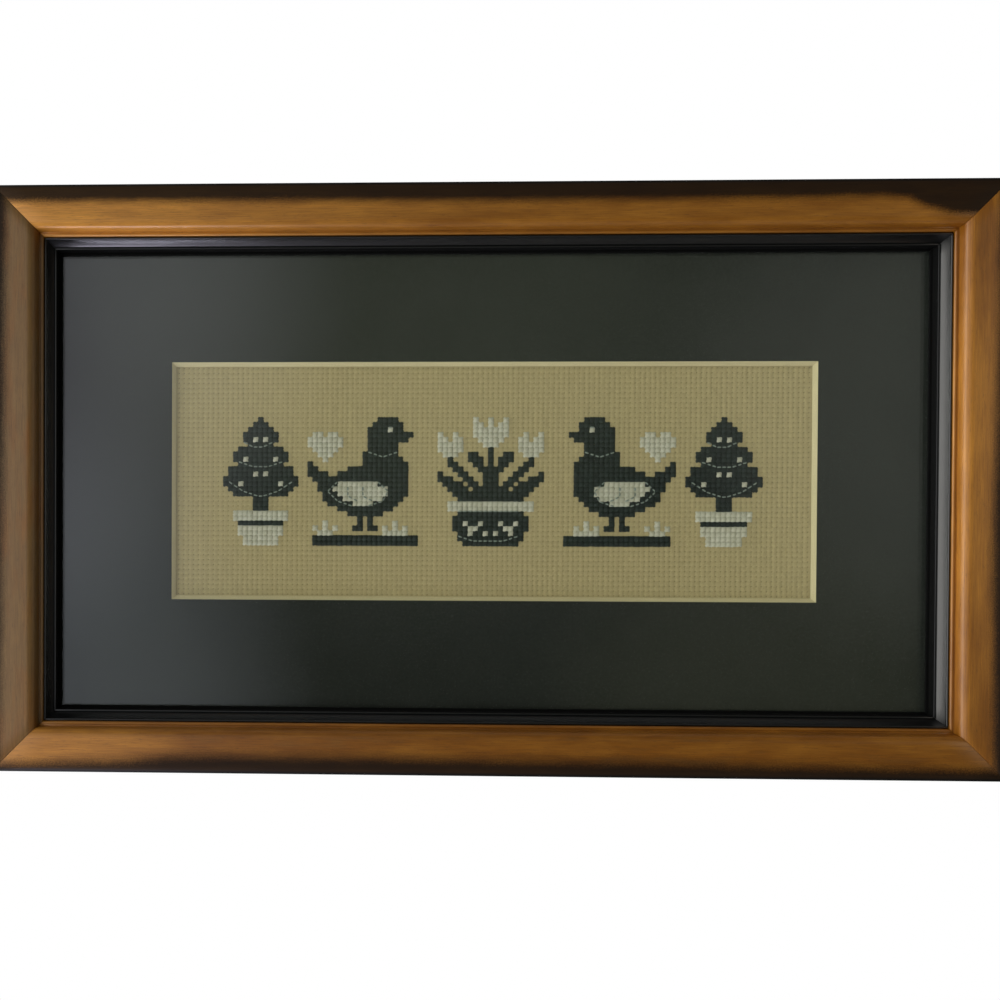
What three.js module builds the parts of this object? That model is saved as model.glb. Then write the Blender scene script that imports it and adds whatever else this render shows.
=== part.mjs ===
// A framed cross-stitch picture. A wide, low piece of embroidery on block-weave cloth lies behind a dark
// window mat and a pane of glass, in a mitred frame of copper-stained wood with a black inner slip.
// The picture hangs upright: X runs along it, Z is up, and its front faces -Y. The origin is on the flat
// back of the top rail, where the frame meets the wall. All sizes are in millimetres.
import * as THREE from 'three';

// Outside of the frame, as seen from the front
const FRAME_WIDTH = 354;
const FRAME_HEIGHT = 208.4;

// Copper-stained rail: u runs in from its outer edge, t runs forward from its back
const RAIL_WIDTH = 17.9;
const REBATE_WALL = 10.5;        // wood left between the outer edge and the rebate
const EDGE_HEIGHT = 18.7;        // where the flat outer side ends and starts to round over
const EDGE_CORNER = 21;          // corner that the rounding leans towards
const FACE_OUTER = { u: 2.6, t: 21.4 };
const FACE_INNER = { u: 11.9, t: 21.8 };
const FACE_CROWN = 0.1;          // how far the face rises above a straight line
const SLOPE_END = { u: 14.2, t: 21.2 };     // gentle slope from the face to the shoulder
const SHOULDER = { u: 15.4, t: 19.9, corner: 20.9 };
const GROOVE = { u: 16, t: 18, foot: 17.7 };
const FILLET_RADIUS = 0.75;      // small bead along the rail's inner edge
const SIGHT_HEIGHT = 18;         // front of the rail at its inner edge
const LIP_THICKNESS = 2;         // wood between the inner edge and the rebate's ledge

// Black slip: s runs in from the copper rail's inner edge
const SLIP_WIDTH = 4.8;
const SLIP_RIDGE = { radius: 0.38, drop: 0.5 };          // drop: below the rail's inner edge
const SLIP_COVE = { s: 1.3, drop: 3.8 };                 // point that the hollow bends towards
const SLIP_BEAD = { s: 3.3, radius: 0.45, rise: 2.2 };   // rise: of its middle above the slip's back
const SLIP_LIP_THICKNESS = 0.9;  // flat lip between the bead and the picture

// What lies in the rebate, from the back to the front
const BACK_RECESS = 2;           // how far the backing board sits inside the frame's back
const BOARD_THICKNESS = 2.5;
const CLOTH_THICKNESS = 1;
const MAT_THICKNESS = 1.5;
const GLASS_THICKNESS = 2;
const PACK_PLAY = 0.5;           // between a pane or board and the rebate's wall
const CLOTH_INSET = 1.5;         // cloth is cut this much smaller than the boards

// Window in the mat, measured at its front, with a 45 degree bevel
const WINDOW_WIDTH = 231.6;
const WINDOW_HEIGHT = 86.3;
const WINDOW_SHIFT = { x: 1.2, z: 0.2 };                 // how far off the mat's centre it was cut

const GAP = 0.3;                 // between any two pieces
const MITRE_TRIM = GAP * Math.SQRT1_2;
const ARC_STEPS = 7;

// Depth of each layer's back face, counted forward from the frame's back
const boardBack = BACK_RECESS;
const clothBack = boardBack + BOARD_THICKNESS + GAP;
const matBack = clothBack + CLOTH_THICKNESS + GAP;
const glassBack = matBack + MAT_THICKNESS + GAP;
const slipBack = glassBack + GLASS_THICKNESS + GAP;
const packWidth = FRAME_WIDTH - 2 * (REBATE_WALL + PACK_PLAY);
const packHeight = FRAME_HEIGHT - 2 * (REBATE_WALL + PACK_PLAY);

// Finish of each kind of piece
const finishes = {
  copper: { color: 0x8d6036, roughness: 0.42, metalness: 0 },
  black: { color: 0x0c0d0e, roughness: 0.2, metalness: 0 },
  glass: { color: 0xe8f0ee, roughness: 0.03, metalness: 0, transparent: true, opacity: 0.25 },
  mat: { color: 0x33352f, roughness: 0.85, metalness: 0 },
  cloth: { color: 0x958a6a, roughness: 0.95, metalness: 0 },
  board: { color: 0x7a5f42, roughness: 0.9, metalness: 0 },
};

function makeMesh(name, geometry, finish) {
  const mesh = new THREE.Mesh(geometry, new THREE.MeshStandardMaterial(finishes[finish]));
  mesh.name = name;
  return mesh;
}

// Section of the copper rail, as a closed outline of (u, t)
function railSection() {
  const ledge = SIGHT_HEIGHT - LIP_THICKNESS;
  const filletCentre = RAIL_WIDTH - FILLET_RADIUS;
  const filletBase = SIGHT_HEIGHT - FILLET_RADIUS;
  const filletFoot = Math.asin((GROOVE.foot - filletBase) / FILLET_RADIUS);
  const faceMiddle = (FACE_OUTER.u + FACE_INNER.u) / 2;
  const faceTop = (FACE_OUTER.t + FACE_INNER.t) / 2 + 2 * FACE_CROWN;
  const section = new THREE.Shape();
  section.moveTo(0, 0);
  section.lineTo(REBATE_WALL, 0);
  section.lineTo(REBATE_WALL, ledge);
  section.lineTo(RAIL_WIDTH, ledge);
  section.lineTo(RAIL_WIDTH, filletBase);
  section.absarc(filletCentre, filletBase, FILLET_RADIUS, 0, Math.PI - filletFoot, false);
  section.lineTo(GROOVE.u, GROOVE.foot);
  section.lineTo(GROOVE.u, GROOVE.t);
  section.lineTo(SHOULDER.u, SHOULDER.t);
  section.quadraticCurveTo(SHOULDER.u, SHOULDER.corner, SLOPE_END.u, SLOPE_END.t);
  section.lineTo(FACE_INNER.u, FACE_INNER.t);
  section.quadraticCurveTo(faceMiddle, faceTop, FACE_OUTER.u, FACE_OUTER.t);
  section.quadraticCurveTo(0, EDGE_CORNER, 0, EDGE_HEIGHT);
  section.closePath();
  return section;
}

// Section of the black slip, in the same (u, t) as the rail that it is fitted in
function slipSection() {
  const ridgeCentre = RAIL_WIDTH + GAP + SLIP_RIDGE.radius;
  const ridgeBase = SIGHT_HEIGHT - SLIP_RIDGE.drop - SLIP_RIDGE.radius;
  const coveTurn = { u: RAIL_WIDTH + SLIP_COVE.s, t: SIGHT_HEIGHT - SLIP_COVE.drop };
  const beadCentre = RAIL_WIDTH + SLIP_BEAD.s;
  const beadBase = slipBack + SLIP_BEAD.rise;
  const lipFront = slipBack + SLIP_LIP_THICKNESS;
  const tongueTop = SIGHT_HEIGHT - LIP_THICKNESS - GAP;
  const section = new THREE.Shape();
  section.moveTo(REBATE_WALL + GAP, slipBack);
  section.lineTo(RAIL_WIDTH + SLIP_WIDTH, slipBack);
  section.lineTo(RAIL_WIDTH + SLIP_WIDTH, lipFront);
  section.lineTo(beadCentre + SLIP_BEAD.radius, lipFront);
  section.absarc(beadCentre, beadBase, SLIP_BEAD.radius, 0, Math.PI, false);
  section.quadraticCurveTo(coveTurn.u, coveTurn.t, ridgeCentre + SLIP_RIDGE.radius, ridgeBase);
  section.absarc(ridgeCentre, ridgeBase, SLIP_RIDGE.radius, 0, Math.PI, false);
  section.lineTo(RAIL_WIDTH + GAP, tongueTop);
  section.lineTo(REBATE_WALL + GAP, tongueTop);
  section.closePath();
  return section;
}

// A straight rail of one section, cut at 45 degrees at both ends. Its outer edge lies on z = 0 with the
// rail below it, and its length runs along X.
function mitredRail(section, outerLength) {
  const extrusion = { depth: 1, bevelEnabled: false, curveSegments: ARC_STEPS };
  const geometry = new THREE.ExtrudeGeometry(section, extrusion);
  const position = geometry.getAttribute('position');
  for (let i = 0; i < position.count; i += 1) {
    const u = position.getX(i);
    const t = position.getY(i);
    const end = Math.sign(0.5 - position.getZ(i));
    position.setXYZ(i, end * (outerLength / 2 - u - MITRE_TRIM), -t, -u);
  }
  geometry.computeVertexNormals();
  return geometry;
}

// Four rails of one section, one along each side of the frame
function railSet(prefix, section, finish) {
  const sides = [
    { side: 'top', length: FRAME_WIDTH, x: 0, z: FRAME_HEIGHT / 2, turn: 0 },
    { side: 'right', length: FRAME_HEIGHT, x: FRAME_WIDTH / 2, z: 0, turn: Math.PI / 2 },
    { side: 'bottom', length: FRAME_WIDTH, x: 0, z: -FRAME_HEIGHT / 2, turn: Math.PI },
    { side: 'left', length: FRAME_HEIGHT, x: -FRAME_WIDTH / 2, z: 0, turn: -Math.PI / 2 },
  ];
  const set = new THREE.Group();
  for (const { side, length, x, z, turn } of sides) {
    const rail = makeMesh(`${prefix}_${side}`, mitredRail(section, length), finish);
    rail.position.set(x, 0, z);
    rail.rotation.y = turn;
    set.add(rail);
  }
  return set;
}

// A flat rectangular pane or board, with its back face at a given depth
function flatPane(name, width, height, thickness, back, finish) {
  const pane = makeMesh(name, new THREE.BoxGeometry(width, thickness, height), finish);
  pane.position.y = -(back + thickness / 2);
  return pane;
}

function rectangle(path, width, height) {
  path.moveTo(-width / 2, -height / 2);
  path.lineTo(width / 2, -height / 2);
  path.lineTo(width / 2, height / 2);
  path.lineTo(-width / 2, height / 2);
  path.closePath();
  return path;
}

// The mat: a board with a window whose edge widens towards the front at 45 degrees
function windowMat() {
  const outline = rectangle(new THREE.Shape(), packWidth, packHeight);
  const backWidth = WINDOW_WIDTH - 2 * MAT_THICKNESS;
  const backHeight = WINDOW_HEIGHT - 2 * MAT_THICKNESS;
  outline.holes.push(rectangle(new THREE.Path(), backWidth, backHeight));
  const geometry = new THREE.ExtrudeGeometry(outline, { depth: MAT_THICKNESS, bevelEnabled: false });
  const position = geometry.getAttribute('position');
  for (let i = 0; i < position.count; i += 1) {
    const x = position.getX(i);
    const z = position.getY(i);
    const forward = position.getZ(i);
    if (Math.abs(x) > backWidth / 2) {
      position.setXYZ(i, x, -forward, z);
    } else {
      const edgeX = x + Math.sign(x) * forward + WINDOW_SHIFT.x;
      const edgeZ = z + Math.sign(z) * forward + WINDOW_SHIFT.z;
      position.setXYZ(i, edgeX, -forward, edgeZ);
    }
  }
  geometry.computeVertexNormals();
  const mat = makeMesh('window_mat', geometry, 'mat');
  mat.position.y = -matBack;
  return mat;
}

const clothWidth = packWidth - 2 * CLOTH_INSET;
const clothHeight = packHeight - 2 * CLOTH_INSET;

const picture = new THREE.Group();
picture.add(railSet('rail', railSection(), 'copper'));
picture.add(railSet('slip', slipSection(), 'black'));
picture.add(flatPane('glass_pane', packWidth, packHeight, GLASS_THICKNESS, glassBack, 'glass'));
picture.add(windowMat());
picture.add(flatPane('stitched_cloth', clothWidth, clothHeight, CLOTH_THICKNESS, clothBack, 'cloth'));
picture.add(flatPane('backing_board', packWidth, packHeight, BOARD_THICKNESS, boardBack, 'board'));

// The origin is in the middle of the top rail's flat back
picture.position.z = REBATE_WALL / 2 - FRAME_HEIGHT / 2;

const part = new THREE.Group();
part.add(picture);

export default part;
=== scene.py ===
# A framed cross-stitch picture: embroidery on block-weave cloth behind a window mat and a pane of glass, in
# a mitred frame of copper-stained wood with a black inner slip. It hangs upright, faces -Y, and is in metres.
import math
import random

import bmesh
import bpy
from mathutils import Matrix, Vector


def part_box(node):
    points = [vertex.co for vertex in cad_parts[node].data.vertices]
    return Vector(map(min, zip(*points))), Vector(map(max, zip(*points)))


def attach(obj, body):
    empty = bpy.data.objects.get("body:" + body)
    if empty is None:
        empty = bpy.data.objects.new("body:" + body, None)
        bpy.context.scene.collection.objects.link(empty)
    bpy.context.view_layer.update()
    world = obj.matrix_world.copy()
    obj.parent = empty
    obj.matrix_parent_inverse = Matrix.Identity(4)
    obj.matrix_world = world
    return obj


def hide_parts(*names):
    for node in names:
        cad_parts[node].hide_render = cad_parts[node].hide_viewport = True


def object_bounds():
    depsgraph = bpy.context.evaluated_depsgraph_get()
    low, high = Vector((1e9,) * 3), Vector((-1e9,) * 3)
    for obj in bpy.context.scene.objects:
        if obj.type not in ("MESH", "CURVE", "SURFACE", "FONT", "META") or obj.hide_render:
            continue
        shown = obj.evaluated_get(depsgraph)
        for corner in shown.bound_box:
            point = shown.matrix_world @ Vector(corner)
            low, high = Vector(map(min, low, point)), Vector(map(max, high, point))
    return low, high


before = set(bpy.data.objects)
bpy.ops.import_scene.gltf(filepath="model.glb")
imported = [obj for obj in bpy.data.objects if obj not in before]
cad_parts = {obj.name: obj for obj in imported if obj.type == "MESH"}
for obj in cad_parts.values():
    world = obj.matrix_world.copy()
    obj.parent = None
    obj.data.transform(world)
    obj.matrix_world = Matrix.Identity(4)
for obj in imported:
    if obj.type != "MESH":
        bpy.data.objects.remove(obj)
cad_low, cad_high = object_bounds()


# Copper-stained rails. Four lengths of a narrow hardwood moulding, stained copper brown under a satin lacquer
# and sprayed matt brown-black along the outer edge, then mitred, glued and pinned at the corners.
MM = 0.001
FRAME_WIDTH = cad_high.x - cad_low.x
FRAME_HEIGHT = cad_high.z - cad_low.z
FRAME_MIDDLE = Vector(((cad_low.x + cad_high.x) / 2, 0, (cad_low.z + cad_high.z) / 2))

RAIL_WIDTH = 17.9 * MM
REBATE_WALL = 10.5 * MM
EDGE_HEIGHT = 18.7 * MM      # where the flat outer side starts to round over
EDGE_CORNER = 21 * MM
FACE_OUTER = Vector((2.6, 21.4)) * MM
FACE_INNER = Vector((13.8, 21.65)) * MM
FACE_CROWN = 0.1 * MM
SLOPE_END = Vector((15.2, 21)) * MM
SHOULDER = Vector((16, 19.3)) * MM
SHOULDER_CORNER = Vector((15.9, 20.4)) * MM
GROOVE = Vector((16.3, 18)) * MM
GROOVE_FOOT = 17.7 * MM
FILLET_RADIUS = 0.65 * MM
SIGHT_HEIGHT = 18 * MM
LIP_THICKNESS = 2 * MM
MITRE_TRIM = 0.03 * MM       # glued mitres close to a hairline
ARRIS_ROUNDING = 0.14 * MM
ARRIS_ANGLE = math.radians(35)
ROUND_STEPS = 10
LENGTH_CUTS = 36             # slices along a rail, so that the sprayed edge can vary

SIDES = {  # length of the side, quarter turns about Y from the top side, distance from the middle
    "top": (FRAME_WIDTH, 0, FRAME_HEIGHT / 2),
    "right": (FRAME_HEIGHT, 1, FRAME_WIDTH / 2),
    "bottom": (FRAME_WIDTH, 2, FRAME_HEIGHT / 2),
    "left": (FRAME_HEIGHT, 3, FRAME_WIDTH / 2),
}

# What the finish does along each side. A row is a place from 0 to 1, left to right or top to bottom, then how
# far in from the outer edge the dark spray reaches and half the width that it fades over, both in millimetres,
# and how light and golden the stain is there, from 0 to 1. That last lightness is partly uneven stain and
# partly painted light: it paints the brighter left ends of the top and bottom rails and the brighter right
# rail that light and sheen give, and the darker left rail that they leave in shade.
FINISH = {
    "top": [
        (0, 6.8, 2.0, 0.92), (0.15, 6.9, 2.0, 0.84), (0.3, 7.2, 2.1, 0.6), (0.5, 7.7, 2.3, 0.42),
        (0.8, 7.4, 2.2, 0.4), (0.89, 7.0, 2.4, 0.38), (0.94, 13.0, 1.8, 0.36), (1, 13.6, 1.8, 0.36),
    ],
    "right": [
        (0, 4.6, 2.6, 0.33), (0.14, 5.0, 2.6, 0.35), (0.37, 5.6, 2.6, 0.55), (0.63, 6.4, 2.8, 0.49),
        (0.85, 5.6, 2.6, 0.34), (1, 5.2, 2.4, 0.34),
    ],
    "bottom": [
        (0, 3.6, 2.8, 0.6), (0.12, 5.0, 3.2, 0.5), (0.2, 7.4, 3.4, 0.33), (0.35, 7.4, 3.6, 0.3),
        (0.6, 6.8, 3.6, 0.29), (0.8, 5.9, 3.4, 0.31), (1, 5.0, 2.8, 0.35),
    ],
    "left": [(0, 5.8, 2.4, 0.06), (0.3, 5.2, 2.8, 0.04), (0.7, 4.2, 3.0, 0.02), (1, 3.2, 2.6, 0.02)],
}
STAIN_PATCHES = 0.12         # how much the stain's thinness varies from patch to patch
SPRAY_WANDER = 0.3 * MM      # of the dark edge, in soft clouds
SPRAY_MIST = 0.9 * MM        # of single droplets about the edge
RIM_START, RIM_END = 0.6 * MM, 1.9 * MM      # rounded outer rim, painted near-black


def bend(start, corner, end, steps):
    """Points of a round stretch that leans towards corner, from after start up to end."""
    points = []
    for step in range(1, steps + 1):
        share = step / steps
        points.append((1 - share) ** 2 * start + 2 * share * (1 - share) * corner + share**2 * end)
    return points


def bead_over(centre, radius, steps, sweep=math.pi):
    """Points over the top of a round bead, from its inner side to its outer side."""
    angles = [sweep * step / steps for step in range(steps + 1)]
    return [centre + radius * Vector((math.cos(angle), math.sin(angle))) for angle in angles]


def rail_section():
    """Outline of a rail as (u, t): u runs in from the outer edge, t runs forward from the flat back."""
    ledge = SIGHT_HEIGHT - LIP_THICKNESS
    fillet = Vector((RAIL_WIDTH - FILLET_RADIUS, SIGHT_HEIGHT - FILLET_RADIUS))
    fillet_sweep = math.pi - math.asin((GROOVE_FOOT - fillet.y) / FILLET_RADIUS)
    face_top = (FACE_OUTER + FACE_INNER) / 2 + Vector((0, 2 * FACE_CROWN))
    edge_start = Vector((0, EDGE_HEIGHT))
    outline = [Vector((0, 0)), Vector((REBATE_WALL, 0))]
    outline += [Vector((REBATE_WALL, ledge)), Vector((RAIL_WIDTH, ledge))]
    outline += bead_over(fillet, FILLET_RADIUS, ROUND_STEPS, fillet_sweep)
    outline += [Vector((GROOVE.x, GROOVE_FOOT)), GROOVE, SHOULDER]
    outline += bend(SHOULDER, SHOULDER_CORNER, SLOPE_END, ROUND_STEPS)
    outline += [FACE_INNER]
    outline += bend(FACE_INNER, face_top, FACE_OUTER, ROUND_STEPS)
    outline += bend(FACE_OUTER, Vector((0, EDGE_CORNER)), edge_start, ROUND_STEPS)
    return outline


def mitred_length(section, side):
    """A bmesh of one side's moulding in its place. Its points keep the stick's own coordinates in 'stick' and
    the way across the grain in 'across_grain'."""
    length, turns, reach = SIDES[side]
    bm = bmesh.new()
    end = bm.faces.new([bm.verts.new((-0.5, -t, -u)) for u, t in section])
    grown = bmesh.ops.extrude_face_region(bm, geom=[end])["geom"]
    far_end = [item for item in grown if isinstance(item, bmesh.types.BMVert)]
    bmesh.ops.translate(bm, verts=far_end, vec=(1, 0, 0))
    lengthwise = [edge for edge in bm.edges if abs(edge.verts[0].co.x - edge.verts[1].co.x) > 0.5]
    bmesh.ops.subdivide_edges(bm, edges=lengthwise, cuts=LENGTH_CUTS - 1)
    for vert in bm.verts:
        vert.co.x *= length + 2 * vert.co.z - 2 * MITRE_TRIM
    bmesh.ops.recalc_face_normals(bm, faces=bm.faces)
    arrises = [edge for edge in bm.edges if edge.calc_face_angle_signed(0) > ARRIS_ANGLE]
    bmesh.ops.bevel(
        bm, geom=arrises, offset=ARRIS_ROUNDING, offset_type="OFFSET", segments=2, profile=0.5,
        affect="EDGES", material=-1, clamp_overlap=True,
    )
    stick = bm.verts.layers.float_vector.new("stick")
    for vert in bm.verts:
        vert[stick] = (vert.co.x + turns * FRAME_WIDTH, -vert.co.z, -vert.co.y)
    place = Matrix.Translation(FRAME_MIDDLE) @ Matrix.Rotation(turns * math.pi / 2, 4, "Y")
    across = bm.verts.layers.float_vector.new("across_grain")
    for vert in bm.verts:
        vert[across] = place.to_3x3() @ Vector((0, 0, 1))
    bmesh.ops.transform(bm, matrix=place @ Matrix.Translation((0, 0, reach)), verts=bm.verts)
    return bm


def finish_at(side, place):
    """Reach and softness of the dark spray, in metres, and the stain's lightness at a place along a side,
    which is partly uneven stain and partly painted light.
    """
    rows = FINISH[side]
    after = next((k for k, row in enumerate(rows) if row[0] >= place and k), len(rows) - 1)
    before = rows[after - 1]
    share = min(max((place - before[0]) / (rows[after][0] - before[0]), 0), 1)
    share = share * share * (3 - 2 * share)
    reach, softness, stain_lightness_and_painted_light = (a + share * (b - a) for a, b in zip(before[1:], rows[after][1:]))
    return reach * MM, softness * MM, stain_lightness_and_painted_light


def paint_finish(bm, side):
    """Keeps the finish of a rail on its points, for its material."""
    finish = bm.verts.layers.float_vector.new("finish")
    across = side in ("top", "bottom")
    for vert in bm.verts:
        place = (vert.co.x - cad_low.x) / FRAME_WIDTH if across else (cad_high.z - vert.co.z) / FRAME_HEIGHT
        vert[finish] = finish_at(side, place)


def piece_from(bm, name, materials, node, smooth_under=ARRIS_ANGLE):
    """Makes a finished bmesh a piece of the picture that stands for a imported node."""
    mesh = bpy.data.meshes.new(name)
    bm.to_mesh(mesh)
    bm.free()
    for face in mesh.polygons:
        face.use_smooth = True
    mesh.set_sharp_from_angle(angle=smooth_under)
    for material in materials:
        mesh.materials.append(material)
    piece = bpy.data.objects.new(name, mesh)
    bpy.context.scene.collection.objects.link(piece)
    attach(piece, "root")
    if node:
        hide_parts(node)
    return piece


def tint(code):
    """Linear colour of an sRGB hex value."""
    channels = [int(code[k : k + 2], 16) / 255 for k in (1, 3, 5)]
    return [c / 12.92 if c <= 0.04045 else ((c + 0.055) / 1.055) ** 2.4 for c in channels] + [1]


def add(tree, kind, settings, links):
    """Adds a node, sets its properties or sockets by name or number, and links sockets to its inputs."""
    made = tree.nodes.new("ShaderNode" + kind)
    for key, value in settings.items():
        if isinstance(key, str) and hasattr(made, key):
            setattr(made, key, value)
        else:
            made.inputs[key].default_value = value
    for key, source in links.items():
        tree.links.new(source, made.inputs[key])
    return made


def new_material(name, settings):
    """A material with a Principled shader: returns it, its node tree and the shader."""
    material = bpy.data.materials.new(name)
    material.use_nodes = True
    shader = material.node_tree.nodes["Principled BSDF"]
    for key, value in settings.items():
        shader.inputs[key].default_value = value
    return material, material.node_tree, shader


def copper_stained_wood():
    """Fine-pored hardwood under copper stain and satin lacquer: short dark pores run along the stick, and the
    stain is lighter and more golden in places, partly from uneven staining and partly as painted light where
    light and sheen brighten the rails. The sprayed edge is a matt brown-black that fades out in fine droplets."""
    material, tree, shader = new_material(
        "copper_stained_wood",
        {"Anisotropic": 0.7, "Specular IOR Level": 0.25, "Coat Roughness": 0.32},
    )
    across = add(tree, "Attribute", {"attribute_name": "across_grain"}, {}).outputs["Vector"]
    tree.links.new(across, shader.inputs["Tangent"])
    stick = add(tree, "Attribute", {"attribute_name": "stick"}, {}).outputs["Vector"]
    finish = add(tree, "Attribute", {"attribute_name": "finish"}, {}).outputs["Vector"]
    place = add(tree, "SeparateXYZ", {}, {0: stick}).outputs
    laid = add(tree, "SeparateXYZ", {}, {0: finish}).outputs

    fibre_scale = (1 / (9 * MM), 1 / (0.32 * MM), 1 / (0.32 * MM))     # fibres 9 mm long and 0.3 mm wide
    pore_scale = (1 / (2.6 * MM), 1 / (0.16 * MM), 1 / (0.16 * MM))    # pores 2.6 mm long
    patch_scale = (1 / (26 * MM), 1 / (5 * MM), 1 / (5 * MM))
    cloud_scale = (1 / (9 * MM), 1 / (3 * MM), 1 / (3 * MM))
    droplet_scale = (1 / (0.4 * MM),) * 3
    fibres, pores, patches, clouds, droplets = (
        add(
            tree, "TexNoise", {"Scale": 1, "Detail": detail, "Roughness": 0.6},
            {"Vector": add(tree, "Mapping", {"Scale": scale}, {"Vector": stick}).outputs[0]},
        ).outputs["Fac"]
        for scale, detail in (
            (fibre_scale, 3), (pore_scale, 1), (patch_scale, 2), (cloud_scale, 2), (droplet_scale, 2)
        )
    )
    pore = add(tree, "MapRange", {"From Min": 0.62, "From Max": 0.74}, {"Value": pores}).outputs[0]
    fibre = add(tree, "MapRange", {"From Min": 0.3, "From Max": 0.7}, {"Value": fibres}).outputs[0]
    uneven = add(
        tree, "MapRange",
        {"From Min": 0.3, "From Max": 0.7, "To Min": -STAIN_PATCHES, "To Max": STAIN_PATCHES},
        {"Value": patches},
    ).outputs[0]
    # lightness of the stain: random patches plus the table's painted light and shade along each rail
    stain_and_painted_light = add(tree, "Math", {"operation": "ADD", "use_clamp": True}, {0: laid["Z"], 1: uneven}).outputs[0]

    deep = add(tree, "MapRange", {"From Min": 0, "From Max": 0.25}, {"Value": stain_and_painted_light}).outputs[0]
    golden = add(tree, "MapRange", {"From Min": 0.25, "From Max": 1}, {"Value": stain_and_painted_light}).outputs[0]
    stain = add(
        tree, "Mix", {"data_type": "RGBA", 6: tint("#8A6835"), 7: tint("#975D0E")}, {"Factor": deep}
    ).outputs[2]
    stain = add(
        tree, "Mix", {"data_type": "RGBA", 7: tint("#F0A83C")}, {"Factor": golden, 6: stain}
    ).outputs[2]
    fibre_share = add(tree, "Math", {"operation": "MULTIPLY", 1: 0.4}, {0: fibre}).outputs[0]
    grained = add(
        tree, "Mix", {"data_type": "RGBA", "blend_type": "MULTIPLY", 7: tint("#8A6A50")},
        {"Factor": fibre_share, 6: stain},
    ).outputs[2]
    pore_share = add(tree, "Math", {"operation": "MULTIPLY", 1: 0.45}, {0: pore}).outputs[0]
    wood = add(
        tree, "Mix", {"data_type": "RGBA", 7: tint("#3A2312")}, {"Factor": pore_share, 6: grained}
    ).outputs[2]

    inward = place["Y"]
    for noise, reach in ((clouds, SPRAY_WANDER), (droplets, SPRAY_MIST)):
        shift = add(
            tree, "MapRange", {"From Min": 0.25, "From Max": 0.75, "To Min": -reach, "To Max": reach},
            {"Value": noise},
        ).outputs[0]
        inward = add(tree, "Math", {"operation": "ADD"}, {0: inward, 1: shift}).outputs[0]
    far = add(tree, "Math", {"operation": "ADD"}, {0: laid["X"], 1: laid["Y"]}).outputs[0]
    near = add(tree, "Math", {"operation": "SUBTRACT"}, {0: laid["X"], 1: laid["Y"]}).outputs[0]
    sprayed = add(
        tree, "MapRange", {"interpolation_type": "SMOOTHSTEP"},
        {"Value": inward, "From Min": far, "From Max": near},
    ).outputs[0]
    sprayed_share = add(tree, "Math", {"operation": "MULTIPLY", 1: 0.95}, {0: sprayed}).outputs[0]
    dark = add(
        tree, "Mix", {"data_type": "RGBA", 7: tint("#140F0A")}, {"Factor": sprayed_share, 6: wood}
    ).outputs[2]
    rim = add(
        tree, "MapRange", {"interpolation_type": "SMOOTHSTEP", "From Min": RIM_END, "From Max": RIM_START},
        {"Value": place["Y"]},
    ).outputs[0]
    colour = add(
        tree, "Mix", {"data_type": "RGBA", 7: tint("#070604")}, {"Factor": rim, 6: dark}
    ).outputs[2]
    tree.links.new(colour, shader.inputs["Base Color"])

    rough = add(tree, "MapRange", {"To Min": 0.48, "To Max": 0.6}, {"Value": fibres}).outputs[0]
    rough = add(tree, "Mix", {"data_type": "FLOAT", 3: 0.8}, {"Factor": sprayed, 2: rough}).outputs[0]
    metal = add(tree, "MapRange", {"To Min": 0.22, "To Max": 0}, {"Value": sprayed}).outputs[0]
    gloss = add(tree, "MapRange", {"To Min": 0.95, "To Max": 0.06}, {"Value": sprayed}).outputs[0]
    tree.links.new(rough, shader.inputs["Roughness"])
    tree.links.new(metal, shader.inputs["Metallic"])
    tree.links.new(gloss, shader.inputs["Coat Weight"])
    relief = add(tree, "Math", {"operation": "SUBTRACT"}, {0: fibres, 1: pore}).outputs[0]
    bump = add(tree, "Bump", {"Strength": 0.35, "Distance": 0.03 * MM}, {"Height": relief})
    tree.links.new(bump.outputs[0], shader.inputs["Normal"])
    return material


copper_wood = copper_stained_wood()
for side in SIDES:
    rail = mitred_length(rail_section(), side)
    paint_finish(rail, side)
    piece_from(rail, f"copper_rail_{side}", [copper_wood], f"rail_{side}")


# Black inner slip. A small second wooden moulding that sits in the copper rail's rebate and presses on the
# glass. It has a slender ridge beside the copper, a cove and a bead, all lacquered gloss black, and a narrow
# flat lip at its foot in matt near-black. The lip stands in as painted shade for the dark strip beside the
# bead, where the mat lies in shadow and the glass mirrors the black slip.
SLIP_WIDTH = 4.8 * MM
SLIP_RIDGE_RADIUS = 0.34 * MM
SLIP_RIDGE_DROP = 0.5 * MM                   # below the rail's inner edge
SLIP_COVE_TURN = Vector((1.85, -2.6)) * MM   # from the rail's inner edge
SLIP_BEAD = Vector((3.5, 3.9)) * MM          # from the rail's inner edge, and above the slip's back
SLIP_BEAD_RADIUS = 0.45 * MM
SLIP_LIP_THICKNESS = 0.9 * MM
SLIP_FIT = 0.3 * MM
SLIP_BACK = -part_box("slip_top")[1].y


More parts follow.
